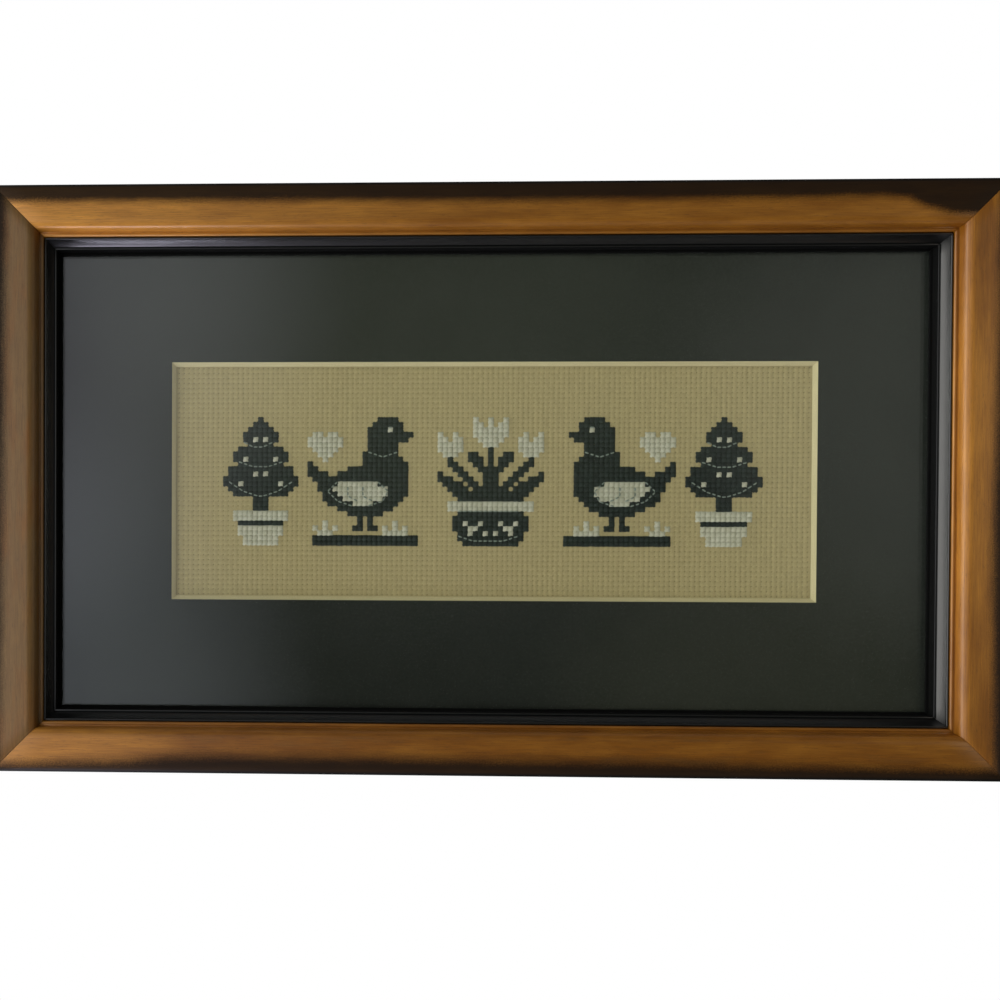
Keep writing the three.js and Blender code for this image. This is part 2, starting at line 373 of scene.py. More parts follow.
def slip_section():
    """Outline of the slip in the same (u, t) as the rail that it is fitted in."""
    ridge = Vector((RAIL_WIDTH + SLIP_FIT, SIGHT_HEIGHT - SLIP_RIDGE_DROP))
    ridge += Vector((SLIP_RIDGE_RADIUS, -SLIP_RIDGE_RADIUS))
    cove_top = ridge + Vector((SLIP_RIDGE_RADIUS, 0))
    cove_turn = Vector((RAIL_WIDTH, SIGHT_HEIGHT)) + SLIP_COVE_TURN
    bead = Vector((RAIL_WIDTH, SLIP_BACK)) + SLIP_BEAD
    lip_front = SLIP_BACK + SLIP_LIP_THICKNESS
    tongue_top = SIGHT_HEIGHT - LIP_THICKNESS - SLIP_FIT
    outer = REBATE_WALL + SLIP_FIT
    foot = RAIL_WIDTH + SLIP_WIDTH
    outline = [Vector((outer, SLIP_BACK)), Vector((foot, SLIP_BACK))]
    outline += [Vector((foot, lip_front)), Vector((bead.x + SLIP_BEAD_RADIUS, lip_front))]
    outline += bead_over(bead, SLIP_BEAD_RADIUS, ROUND_STEPS)
    outline += bend(outline[-1], cove_turn, cove_top, ROUND_STEPS)[:-1]
    outline += bead_over(ridge, SLIP_RIDGE_RADIUS, ROUND_STEPS)
    outline += [Vector((RAIL_WIDTH + SLIP_FIT, tongue_top)), Vector((outer, tongue_top))]
    return outline


def black_lacquer():
    """Sprayed black lacquer on wood: almost no colour of its own, with soft reflections that ripple a little
    along the stick."""
    material, tree, shader = new_material("black_lacquer", {"Coat Weight": 0.6, "Coat Roughness": 0.2})
    stick = add(tree, "Attribute", {"attribute_name": "stick"}, {}).outputs["Vector"]
    ripple_scale = (1 / (5 * MM), 1 / (0.9 * MM), 1 / (0.9 * MM))
    ripple = add(
        tree, "TexNoise", {"Scale": 1, "Detail": 3},
        {"Vector": add(tree, "Mapping", {"Scale": ripple_scale}, {"Vector": stick}).outputs[0]},
    ).outputs["Fac"]
    colour = add(
        tree, "Mix", {"data_type": "RGBA", 6: tint("#040505"), 7: tint("#0B0D0E")}, {"Factor": ripple}
    ).outputs[2]
    rough = add(tree, "MapRange", {"To Min": 0.3, "To Max": 0.44}, {"Value": ripple}).outputs[0]
    bump = add(tree, "Bump", {"Strength": 0.08, "Distance": 0.02 * MM}, {"Height": ripple})
    tree.links.new(colour, shader.inputs["Base Color"])
    tree.links.new(rough, shader.inputs["Roughness"])
    tree.links.new(bump.outputs[0], shader.inputs["Normal"])
    return material


def black_lip_painted_shade():
    """The slip's lip: a chalky, very matt near-black, painted shade for the dark strip of shadow and mirrored
    black slip beside the bead.
    """
    material, tree, shader = new_material(
        "black_lip_painted_shade", {"Roughness": 0.9, "Specular IOR Level": 0.1}
    )
    spot = add(tree, "TexCoord", {}, {}).outputs["Object"]
    grit = add(tree, "TexNoise", {"Scale": 1 / (0.3 * MM), "Detail": 2}, {"Vector": spot}).outputs["Fac"]
    colour = add(
        tree, "Mix", {"data_type": "RGBA", 6: tint("#060606"), 7: tint("#0D0E0D")}, {"Factor": grit}
    ).outputs[2]
    tree.links.new(colour, shader.inputs["Base Color"])
    return material


slip_finish = [black_lacquer(), black_lip_painted_shade()]
matt_from = RAIL_WIDTH + SLIP_BEAD.x + SLIP_BEAD_RADIUS / 2     # the lacquer ends on the bead's inner side
for side in SIDES:
    slip = mitred_length(slip_section(), side)
    stick = slip.verts.layers.float_vector["stick"]
    for face in slip.faces:
        # faces beyond the bead get the matt near-black lip, painted shade for the dark strip beside the bead
        face.material_index = int(min(vert[stick].y for vert in face.verts) > matt_from)
    piece_from(slip, f"black_slip_{side}", slip_finish, f"slip_{side}")


# Picture glass. One flat pane of clear 2 mm float glass, held in the rebate between the slip and the mat. It
# shows only by the soft reflections on it.
def picture_glass():
    """Clear float glass, IOR 1.52, polished by the float process. Lamps shine through it onto the mat."""
    material, tree, shader = new_material(
        "clear_float_glass",
        {"Base Color": tint("#F6FBF9"), "Transmission Weight": 1, "Roughness": 0.02, "IOR": 1.52},
    )
    ray = add(tree, "LightPath", {}, {}).outputs["Is Shadow Ray"]
    clear = add(tree, "BsdfTransparent", {"Color": tint("#F3F8F6")}, {}).outputs[0]
    through = add(tree, "MixShader", {}, {0: ray, 1: shader.outputs[0], 2: clear}).outputs[0]
    tree.links.new(through, tree.nodes["Material Output"].inputs["Surface"])
    return material


def finish_node(name, material):
    """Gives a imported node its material."""
    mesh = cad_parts[name].data
    mesh.materials.clear()
    mesh.materials.append(material)


finish_node("glass_pane", picture_glass())


# Window mat. A sheet of 1.5 mm mat board, charcoal paper over a cream core, with a window cut through it at
# 45 degrees, so that the core shows as a fine pale line round the cloth. Its back is lined with pale paper.
MAT_LOW, MAT_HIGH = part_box("window_mat")
MAT_THICKNESS = MAT_HIGH.y - MAT_LOW.y
WINDOW_WIDTH = 231.6 * MM
WINDOW_HEIGHT = 86.3 * MM
WINDOW_MIDDLE = FRAME_MIDDLE + Vector((1.2, 0, 0.2)) * MM
PAPER_EDGE = 0.12 * MM       # the blade leaves the face paper's edge a little rounded


def corners_at(middle, width, height, depth):
    """The four corners of an upright rectangle whose front is at a depth."""
    signs = ((-1, -1), (1, -1), (1, 1), (-1, 1))
    return [Vector((middle.x + sx * width / 2, depth, middle.z + sz * height / 2)) for sx, sz in signs]


def grow_loop(bm, edges, corners):
    """Extrudes a rectangle's four edges and moves the new corners; returns the new edges."""
    grown = bmesh.ops.extrude_edge_only(bm, edges=edges)["geom"]
    new_edges = [item for item in grown if isinstance(item, bmesh.types.BMEdge) and item.is_boundary]
    new_verts = {vert for edge in new_edges for vert in edge.verts}
    for vert in new_verts:
        vert.co = min(corners, key=lambda corner: (corner - vert.co).length)
    return new_edges


def window_mat():
    """The mat: face paper is material 0, the core 1."""
    bm = bmesh.new()
    window = [bm.verts.new(c) for c in corners_at(WINDOW_MIDDLE, WINDOW_WIDTH, WINDOW_HEIGHT, MAT_LOW.y)]
    opening = [bm.edges.new((window[k - 1], window[k])) for k in range(4)]
    width, height = MAT_HIGH.x - MAT_LOW.x, MAT_HIGH.z - MAT_LOW.z
    middle = (MAT_LOW + MAT_HIGH) / 2
    outer = grow_loop(bm, opening, corners_at(middle, width, height, MAT_LOW.y))
    outer = grow_loop(bm, outer, corners_at(middle, width, height, MAT_HIGH.y))
    back_size = (WINDOW_WIDTH - 2 * MAT_THICKNESS, WINDOW_HEIGHT - 2 * MAT_THICKNESS)
    inner = grow_loop(bm, opening, corners_at(WINDOW_MIDDLE, *back_size, MAT_HIGH.y))
    bmesh.ops.bridge_loops(bm, edges=outer + inner)
    bmesh.ops.recalc_face_normals(bm, faces=bm.faces)
    for face in bm.faces:
        face.material_index = 0 if face.normal.y < -0.9 else 1
    bmesh.ops.bevel(
        bm, geom=opening, offset=PAPER_EDGE, offset_type="OFFSET", segments=3, profile=0.5,
        affect="EDGES", material=0, clamp_overlap=True,
    )
    return bm


def charcoal_face_paper():
    """Uncoated charcoal mat paper, matt: its pale and dark fibres are finer than the render shows, so they
    are drawn as flecks of 0.7 mm, over faint clouds of uneven dye."""
    material, tree, shader = new_material(
        "charcoal_mat_paper", {"Roughness": 0.92, "Specular IOR Level": 0.25}
    )
    spot = add(tree, "TexCoord", {}, {}).outputs["Object"]
    fleck = add(
        tree, "TexNoise", {"Scale": 1 / (0.7 * MM), "Detail": 3, "Roughness": 0.7}, {"Vector": spot}
    ).outputs["Fac"]
    cloud = add(tree, "TexNoise", {"Scale": 1 / (14 * MM), "Detail": 2}, {"Vector": spot}).outputs["Fac"]
    flecks = add(tree, "MapRange", {"From Min": 0.32, "From Max": 0.68}, {"Value": fleck}).outputs[0]
    paper = add(
        tree, "Mix", {"data_type": "RGBA", 6: tint("#252622"), 7: tint("#343530")}, {"Factor": flecks}
    ).outputs[2]
    clouded = add(
        tree, "Mix", {"data_type": "RGBA", "blend_type": "MULTIPLY", 7: tint("#D8DCD6")},
        {"Factor": cloud, 6: paper},
    ).outputs[2]
    bump = add(tree, "Bump", {"Strength": 0.35, "Distance": 0.05 * MM}, {"Height": fleck})
    tree.links.new(clouded, shader.inputs["Base Color"])
    tree.links.new(bump.outputs[0], shader.inputs["Normal"])
    return material


def cream_board_core():
    """The cut core of mat board: compressed cream pulp, matt, with fine layers along the cut."""
    material, tree, shader = new_material(
        "cream_board_core", {"Roughness": 0.85, "Specular IOR Level": 0.3}
    )
    spot = add(tree, "TexCoord", {}, {}).outputs["Object"]
    layer_scale = (1 / (6 * MM), 1 / (0.16 * MM), 1 / (6 * MM))
    layers = add(
        tree, "TexNoise", {"Scale": 1, "Detail": 3},
        {"Vector": add(tree, "Mapping", {"Scale": layer_scale}, {"Vector": spot}).outputs[0]},
    ).outputs["Fac"]
    colour = add(
        tree, "Mix", {"data_type": "RGBA", 6: tint("#D9C99E"), 7: tint("#C6B489")}, {"Factor": layers}
    ).outputs[2]
    bump = add(tree, "Bump", {"Strength": 0.3, "Distance": 0.04 * MM}, {"Height": layers})
    tree.links.new(colour, shader.inputs["Base Color"])
    tree.links.new(bump.outputs[0], shader.inputs["Normal"])
    return material


piece_from(
    window_mat(), "cut_window_mat", [charcoal_face_paper(), cream_board_core()], "window_mat"
)


# Embroidery cloth. Khaki cotton in block weave, 14 blocks to the inch: the threads run in groups, with a
# small hole at each corner of a block for the needle. It is stretched flat between the mat and the board.
CLOTH_LOW, CLOTH_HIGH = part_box("stitched_cloth")
CLOTH_MIDDLE = (CLOTH_LOW + CLOTH_HIGH) / 2
BLOCK_WIDTH = 25.4 / 14 * MM
BLOCK_HEIGHT = 0.985 * BLOCK_WIDTH           # the weft is beaten up a little closer than the warp
BLOCKS_ACROSS = 129                          # just more than shows in the window
BLOCKS_DOWN = 48
HOLE_HALF = 0.17                             # of a block
HOLE_DEPTH = 0.45 * MM
FURROW_DEPTH = 0.04 * MM                     # between two blocks
FURROW_PAINTED_SHADE = 0.12                          # how dark a furrow's painted shade is, where a hole's is 1
THREAD_WANDER = 0.035                        # of a block
CLOTH_WAVE = 0.06 * MM                       # left by the stretching
WAVE_ACROSS, WAVE_DOWN = 31 * MM, 23 * MM
THREADS_PER_BLOCK = 4


def block_line(line, blocks, size):
    """Place of a grid line, from the cloth's middle: a block has a hole line and two lines of its own."""
    block, within = divmod(line, 3)
    return (block + (0, HOLE_HALF, 1 - HOLE_HALF)[within] - blocks / 2) * size


def block_weave_cloth():
    """The cloth: finely dimpled where it shows, and plain under the mat. Material 0 all over."""
    bm = bmesh.new()
    lines_across, lines_down = 3 * BLOCKS_ACROSS, 3 * BLOCKS_DOWN
    bmesh.ops.create_grid(bm, x_segments=lines_across, y_segments=lines_down, size=0.5)
    hole = bm.verts.layers.float.new("needle_hole")
    wander = random.Random(14)
    for vert in bm.verts:
        column = round((vert.co.x + 0.5) * lines_across)
        row = round((vert.co.y + 0.5) * lines_down)
        x = block_line(column, BLOCKS_ACROSS, BLOCK_WIDTH)
        z = block_line(row, BLOCKS_DOWN, BLOCK_HEIGHT)
        on_lines = (column % 3 == 0) + (row % 3 == 0)
        depth = (0, FURROW_DEPTH, HOLE_DEPTH)[on_lines]
        # weight of painted shade here: none, a furrow between blocks, or a needle hole
        vert[hole] = (0, FURROW_PAINTED_SHADE, 1)[on_lines]
        if on_lines == 2:
            x += wander.uniform(-1, 1) * THREAD_WANDER * BLOCK_WIDTH
            z += wander.uniform(-1, 1) * THREAD_WANDER * BLOCK_HEIGHT
        wave = CLOTH_WAVE * (math.sin(x / WAVE_ACROSS) * math.cos(z / WAVE_DOWN) - 1) / 2
        vert.co = WINDOW_MIDDLE + Vector((x, CLOTH_LOW.y + depth - wave, z))
    rim = [edge for edge in bm.edges if edge.is_boundary]
    grown_width = (CLOTH_HIGH.x - CLOTH_LOW.x) / (BLOCKS_ACROSS * BLOCK_WIDTH)
    grown_height = (CLOTH_HIGH.z - CLOTH_LOW.z) / (BLOCKS_DOWN * BLOCK_HEIGHT)
    grown = bmesh.ops.extrude_edge_only(bm, edges=rim)["geom"]
    edge_verts = [item for item in grown if isinstance(item, bmesh.types.BMVert)]
    for vert in edge_verts:
        from_middle = vert.co - WINDOW_MIDDLE
        vert.co.x = CLOTH_MIDDLE.x + from_middle.x * grown_width
        vert.co.y = CLOTH_LOW.y
        vert.co.z = CLOTH_MIDDLE.z + from_middle.z * grown_height
        vert[hole] = 0
    rim = [edge for edge in bm.edges if edge.is_boundary]
    grown = bmesh.ops.extrude_edge_only(bm, edges=rim)["geom"]
    for item in grown:
        if isinstance(item, bmesh.types.BMVert):
            item.co.y = CLOTH_HIGH.y
            item[hole] = 0
    bmesh.ops.contextual_create(bm, geom=[edge for edge in bm.edges if edge.is_boundary])
    bmesh.ops.recalc_face_normals(bm, faces=bm.faces)
    return bm


def weave_coordinates(tree):
    """Object coordinates counted in blocks across and down, as two sockets."""
    spot = add(tree, "TexCoord", {}, {}).outputs["Object"]
    corner = WINDOW_MIDDLE - Vector((BLOCKS_ACROSS * BLOCK_WIDTH / 2, 0, BLOCKS_DOWN * BLOCK_HEIGHT / 2))
    moved = add(tree, "VectorMath", {"operation": "SUBTRACT", 1: corner}, {0: spot}).outputs[0]
    counted = add(
        tree, "VectorMath", {"operation": "DIVIDE", 1: (BLOCK_WIDTH, 1, BLOCK_HEIGHT)}, {0: moved}
    ).outputs[0]
    split = add(tree, "SeparateXYZ", {}, {0: counted}).outputs
    return spot, split["X"], split["Z"]


def khaki_block_weave():
    """Mercerised cotton threads, four to a block each way, passing over and under: matt with a faint sheen,
    painted darker in the needle holes and the furrows between blocks as painted shade, and slightly uneven
    from thread to thread."""
    material, tree, shader = new_material(
        "khaki_block_weave_cotton", {"Roughness": 0.9, "Specular IOR Level": 0.2, "Sheen Weight": 0.15}
    )
    spot, across, down = weave_coordinates(tree)
    waves = []
    for count in (across, down):
        turned = add(
            tree, "Math", {"operation": "MULTIPLY", 1: THREADS_PER_BLOCK * math.pi}, {0: count}
        ).outputs[0]
        waves.append(add(tree, "Math", {"operation": "SINE"}, {0: turned}).outputs[0])
    warp, weft = (add(tree, "Math", {"operation": "ABSOLUTE"}, {0: wave}).outputs[0] for wave in waves)
    crossing = add(tree, "Math", {"operation": "MULTIPLY"}, {0: waves[0], 1: waves[1]}).outputs[0]
    weft_on_top = add(tree, "MapRange", {"From Min": -0.15, "From Max": 0.15}, {"Value": crossing}).outputs[0]
    threads = add(tree, "Mix", {"data_type": "FLOAT"}, {0: weft_on_top, 2: warp, 3: weft}).outputs[0]

    uneven = add(tree, "TexNoise", {"Scale": 1 / (1.1 * MM), "Detail": 3}, {"Vector": spot}).outputs["Fac"]
    slub_scale = (1 / (0.9 * MM), 1, 1 / (22 * MM))
    slubs = add(
        tree, "TexNoise", {"Scale": 1, "Detail": 2},
        {"Vector": add(tree, "Mapping", {"Scale": slub_scale}, {"Vector": spot}).outputs[0]},
    ).outputs["Fac"]
    # painted shade: each thread's colour darker where it rounds down into the gaps between threads
    thread_painted_shade = add(tree, "MapRange", {"To Min": 0.82, "To Max": 1.04}, {"Value": threads}).outputs[0]
    uneven_shade = add(tree, "MapRange", {"To Min": 0.88, "To Max": 1.12}, {"Value": uneven}).outputs[0]
    slub_shade = add(tree, "MapRange", {"To Min": 0.9, "To Max": 1.1}, {"Value": slubs}).outputs[0]
    hole = add(tree, "Attribute", {"attribute_name": "needle_hole"}, {}).outputs["Fac"]
    # painted shade: the cloth's colour darkened in the needle holes and furrows
    hole_painted_shade = add(
        tree, "MapRange", {"From Min": 0.1, "From Max": 0.9, "To Min": 1, "To Max": 0.35}, {"Value": hole}
    ).outputs[0]
    shade = thread_painted_shade
    for other in (uneven_shade, slub_shade, hole_painted_shade):
        shade = add(tree, "Math", {"operation": "MULTIPLY"}, {0: shade, 1: other}).outputs[0]
    colour = add(
        tree, "VectorMath", {"operation": "SCALE", 0: tint("#BEAA7B")[:3]}, {"Scale": shade}
    ).outputs[0]
    tree.links.new(colour, shader.inputs["Base Color"])
    bump = add(tree, "Bump", {"Strength": 0.5, "Distance": 0.09 * MM}, {"Height": threads})
    tree.links.new(bump.outputs[0], shader.inputs["Normal"])
    return material


cloth = piece_from(
    block_weave_cloth(), "block_weave_cloth", [khaki_block_weave()], "stitched_cloth",
    smooth_under=math.radians(75),
)


# Cross stitches. Each is two arms of stranded cotton that cross over one block, from needle hole to needle
# hole, every upper arm lying the same way. Both cottons are worked from these charts.
DARK, PALE = "#", "o"

TREE_HALF = """
.......#
......##
.....###
....####
....##o#
.....###
...#####
..######
..##o###
...#####
.#######
.#####o#
########
###o####
.#######
..######
......##
......##
......##
..oooooo
..oooooo
...#####
...ooooo
...ooooo
....oooo
....oooo
"""

BIRD = """
..............####.....
.............######....
............####o##....
.oo.oo......#########..
ooooooo.....########...
ooooooo.....######.....
.ooooo......######.....
..ooo......#######.....
...o.......########....
#..........#########...
##......############...
####..##############...
.###################...
..####oooooooo######...
..###ooooooooooo####...
...###oooooooooo####...
...####oooooooo####....
....#####oooo#####.....
......###########......
........#######........
..........#.#..........
...o......#.#....o.....
.o.o.o...##.##.o.o.o...
..ooo..........ooooo...
.#####################.
.#####################.
"""

TULIP_POT_HALF = """
.......o..o
.......oo.o
.......oooo
o..o...oooo
oo.oo...ooo
ooooo....oo
ooooo.....#
.ooo..##..#
..#...###.#
..##...##.#
...##...###
#...##...##
###..##..##
.####.##.##
..####.####
...########
....#######
..ooooooooo
..ooooooooo
....#######
...########
...##o##o##
...###oo###
....##o##o#
....#######
.....######
"""


def mirrored(rows):
    """A whole motif from its left half, whose last column is the middle one."""
    return [row + row[-2::-1] for row in rows]


tree_rows = mirrored(TREE_HALF.split())
bird_rows = BIRD.split()
pot_rows = mirrored(TULIP_POT_HALF.split())
facing_bird_rows = [row[::-1] for row in bird_rows]

BAND = [  # motif and the empty blocks before it
    (tree_rows, 0), (bird_rows, 2), (pot_rows, 3), (facing_bird_rows, 3), (tree_rows, 2),
]
BAND_WIDTH = sum(len(rows[0]) + space for rows, space in BAND)
BAND_LEFT = (BLOCKS_ACROSS - BAND_WIDTH) // 2
BAND_TOP = (BLOCKS_DOWN + len(tree_rows)) // 2

DARK_ARM_WIDTH = 1.4 * MM
PALE_ARM_WIDTH = 1.25 * MM
ARM_THICKNESS = 0.26 * MM
ARM_SINK = 0.16 * MM         # how far an arm's ends go down into the needle holes
ARM_LIFT = 0.16 * MM         # height of the lower arm's middle above the cloth
ARM_CLIMB = 0.75 * ARM_THICKNESS     # how much higher the upper arm lies
ARM_ARCH = 2.4               # the higher, the flatter an arm's top and the steeper its ends
ARM_NARROWING = 0.28         # of its width, where an arm is pulled into the holes
PLY_GROOVE = 0.35            # of its thickness, between the two plies
ARM_SIDES = 7
ARM_STEPS = 4
HAND_SHIFT = 0.02            # of a block
HAND_TURN = math.radians(1.6)
HAND_SWELL = (0.9, 1.12)


def cross_stitch(width):
    """Mesh of one cross over a block centred on the origin, with its threads' length and girth as UVs."""
    bm = bmesh.new()
    half_length = math.hypot(BLOCK_WIDTH, BLOCK_HEIGHT) / 2
    for upper in (False, True):
        arm = bmesh.new()
        bmesh.ops.create_cone(
            arm, segments=ARM_SIDES, radius1=1, radius2=1, depth=2, cap_ends=True,
            matrix=Matrix.Rotation(math.pi / 2, 4, "Y"),
        )
        lengthwise = [edge for edge in arm.edges if abs(edge.verts[0].co.x - edge.verts[1].co.x) > 1]
        bmesh.ops.subdivide_edges(arm, edges=lengthwise, cuts=ARM_STEPS - 1)
        strand = arm.loops.layers.uv.new("strand")
        for face in arm.faces:
            for loop in face.loops:
                co = loop.vert.co
                girth = math.atan2(co.z, co.y) / (2 * math.pi)
                loop[strand].uv = (co.x * half_length / MM, girth % 1)
        for vert in arm.verts:
            along, side, top = vert.co
            arch = 1 - abs(along) ** ARM_ARCH
            spread = 1 - ARM_NARROWING * (1 - arch)
            groove = 1 - PLY_GROOVE * max(0, 1 - abs(side) * 3) * (top > 0)
            lift = ARM_LIFT + (ARM_CLIMB if upper else 0)
            height = (lift + ARM_SINK) * arch - ARM_SINK
            vert.co = (
                along * half_length,
                -height - top * groove * ARM_THICKNESS / 2,
                side * spread * width / 2,
            )
        lean = math.atan2(BLOCK_HEIGHT, BLOCK_WIDTH) * (1 if upper else -1)
        bmesh.ops.rotate(arm, verts=arm.verts, cent=(0, 0, 0), matrix=Matrix.Rotation(-lean, 3, "Y"))
        bmesh.ops.recalc_face_normals(arm, faces=arm.faces)
        part = bpy.data.meshes.new("arm")
        arm.to_mesh(part)
        arm.free()
        bm.from_mesh(part)
        bpy.data.meshes.remove(part)
    mesh = bpy.data.meshes.new("cross")
    bm.to_mesh(mesh)
    bm.free()
    return mesh


def blocks_of(colour):
    """Every block of the band that is worked in a colour, as (column, row) from the cloth's lower left."""
    found = []
    left = BAND_LEFT
    for rows, space in BAND:
        left += space
        for down, marks in enumerate(rows):
            row = BAND_TOP - 1 - down
            found += [(left + column, row) for column, mark in enumerate(marks) if mark == colour]
        left += len(rows[0])
    return found


def block_middle(column, row):
    """Middle of a block on the cloth's front."""
    x = (column + 0.5 - BLOCKS_ACROSS / 2) * BLOCK_WIDTH
    z = (row + 0.5 - BLOCKS_DOWN / 2) * BLOCK_HEIGHT
    return Vector((WINDOW_MIDDLE.x + x, CLOTH_LOW.y, WINDOW_MIDDLE.z + z))


def worked(colour, arm_width, seed):
    """All the crosses of one colour in one bmesh, each a little different, as a hand makes them."""
    cross = cross_stitch(arm_width)
    bm = bmesh.new()
    tone = bm.verts.layers.float.new("thread_tone")
    hand = random.Random(seed)
    for column, row in blocks_of(colour):
        shift = Vector((hand.gauss(0, HAND_SHIFT), 0, hand.gauss(0, HAND_SHIFT))) * BLOCK_WIDTH
        turn = Matrix.Rotation(hand.gauss(0, HAND_TURN), 4, "Y")
        swell = Matrix.Diagonal((1, hand.uniform(*HAND_SWELL), 1, 1))
        place = Matrix.Translation(block_middle(column, row) + shift) @ turn @ swell
        shade = hand.random()
        start = len(bm.verts)
        bm.from_mesh(cross)
        bm.verts.ensure_lookup_table()
        for vert in bm.verts[start:]:
            vert.co = place @ vert.co
            vert[tone] = shade
    return bm


def stranded_cotton(name, shadow, light, sheen):
    """Mercerised stranded cotton: two soft plied strands with a silky sheen along the twist, painted darker in
    the grooves between the plies as painted shade, and a slightly different tone from stitch to stitch as the
    light catches it."""
    material, tree, shader = new_material(
        name, {"Roughness": 0.62, "Specular IOR Level": 0.35, "Sheen Weight": sheen, "Sheen Roughness": 0.4}
    )
    strand = add(tree, "UVMap", {"uv_map": "strand"}, {}).outputs[0]
    plies = add(
        tree, "TexWave", {"bands_direction": "DIAGONAL", "Scale": 1.6, "Distortion": 0.6, "Detail": 1},
        {"Vector": add(tree, "Mapping", {"Scale": (1, 6, 1)}, {"Vector": strand}).outputs[0]},
    ).outputs["Fac"]
    tone = add(tree, "Attribute", {"attribute_name": "thread_tone"}, {}).outputs["Fac"]
    spot = add(tree, "TexCoord", {}, {}).outputs["Object"]
    fuzz = add(tree, "TexNoise", {"Scale": 1 / (0.35 * MM), "Detail": 2}, {"Vector": spot}).outputs["Fac"]
    blend = add(tree, "Math", {"operation": "MULTIPLY_ADD", 1: 0.45}, {0: tone, 2: fuzz}).outputs[0]
    share = add(tree, "MapRange", {"From Min": 0.3, "From Max": 1.15}, {"Value": blend}).outputs[0]
    base = add(
        tree, "Mix", {"data_type": "RGBA", 6: tint(shadow), 7: tint(light)}, {"Factor": share}
    ).outputs[2]
    # painted shade: colour darkened in the grooves between the two plies
    ply_groove_painted_shade = add(tree, "MapRange", {"To Min": 0.35, "To Max": 0}, {"Value": plies}).outputs[0]
    colour = add(
        tree, "Mix", {"data_type": "RGBA", "blend_type": "MULTIPLY", 7: tint("#8C8C8C")},
        {"Factor": ply_groove_painted_shade, 6: base},
    ).outputs[2]
    bump = add(tree, "Bump", {"Strength": 0.6, "Distance": 0.05 * MM}, {"Height": plies})
    tree.links.new(colour, shader.inputs["Base Color"])
    tree.links.new(bump.outputs[0], shader.inputs["Normal"])
    return material


dark_cotton = stranded_cotton("green_black_stranded_cotton", "#0E1712", "#1F2B24", 0.1)
pale_cotton = stranded_cotton("off_white_stranded_cotton", "#C9C1A6", "#E4DDC6", 0.2)
dark_work = worked(DARK, DARK_ARM_WIDTH, 3)
dark_crosses = piece_from(dark_work, "dark_cross_stitches", [dark_cotton], None)
pale_work = worked(PALE, PALE_ARM_WIDTH, 5)
pale_crosses = piece_from(pale_work, "pale_cross_stitches", [pale_cotton], None)


# Outline stitches. Single strands of sage-grey cotton in short back stitches over the crosses: feathers on
# the wings, a collar on each bird, garlands on the trees and two lines across the pot.
OUTLINES = {  # paths of (column, row) of needle holes, counted from a motif's upper left corner
    "tree": [
        [(4, 5), (6, 6), (8, 6), (10, 5)], [(3, 9), (6, 10), (9, 10), (12, 9)], [(1, 13), (4, 15), (7, 16)],
        [(7, 16), (8, 16), (11, 15), (14, 13)],
    ],
    "bird": [
        [(6, 13), (4, 15), (6, 17), (9, 18)], [(14, 13), (16, 15), (15, 17), (12, 18)],
        [(8, 14), (8, 16), (10, 17)], [(11, 14), (11, 16), (13, 17)], [(12, 7), (15, 8), (18, 7)],
        [(16, 2), (17, 2)],
    ],
    "pot": [
        [(4, 19), (7, 19), (10, 19), (13, 19), (16, 19)],
        [(4, 24), (7, 25), (10, 25), (13, 25), (16, 24)],
    ],
}
OUTLINE_WIDTH = 0.5 * MM
OUTLINE_LIFT = 0.5 * MM      # over two arms of a cross
OUTLINE_GAP = 0.13           # of a stitch, at each end, pulled down between the crosses
OUTLINE_STITCH = 1.1 * BLOCK_WIDTH
OUTLINE_SIDES, OUTLINE_STEPS = 6, 6
OUTLINE_DIP = 6              # the higher, the nearer its ends a stitch turns down


def outline_paths():
    """Every outline of the band, as holes counted from the cloth's lower left corner."""
    names = ("tree", "bird", "pot", "bird", "tree")
    paths = []
    left = BAND_LEFT
    for name, (rows, space) in zip(names, BAND):
        left += space
        width = len(rows[0])
        for path in OUTLINES[name]:
            turned = [(width - c, r) for c, r in path] if rows is facing_bird_rows else path
            paths.append([(left + c, BAND_TOP - r) for c, r in turned])
        left += width
    return paths


def plain_strand():
    """Mesh of a straight round strand of radius 1 from x = -1 to x = 1."""
    bm = bmesh.new()
    bmesh.ops.create_cone(
        bm, segments=OUTLINE_SIDES, radius1=1, radius2=1, depth=2, cap_ends=True,
        matrix=Matrix.Rotation(math.pi / 2, 4, "Y"),
    )
    lengthwise = [edge for edge in bm.edges if abs(edge.verts[0].co.x - edge.verts[1].co.x) > 1]
    bmesh.ops.subdivide_edges(bm, edges=lengthwise, cuts=OUTLINE_STEPS - 1)
    mesh = bpy.data.meshes.new("strand")
    bm.to_mesh(mesh)
    bm.free()
    return mesh


def back_stitch(bm, strand, start, end):
    """One short strand, lifted over the crosses and turned down at both ends."""
    first = len(bm.verts)
    bm.from_mesh(strand)
    bm.verts.ensure_lookup_table()
    span = end - start
    lean = Matrix.Rotation(-math.atan2(span.z, span.x), 3, "Y")
    for vert in bm.verts[first:]:
        along, side, top = vert.co
        dip = abs(along) ** OUTLINE_DIP
        rise = OUTLINE_LIFT * (1 - dip) - ARM_SINK * dip + top * OUTLINE_WIDTH / 2
        local = Vector((along * span.length / 2, -rise, side * OUTLINE_WIDTH / 2))
        vert.co = (start + end) / 2 + lean @ local


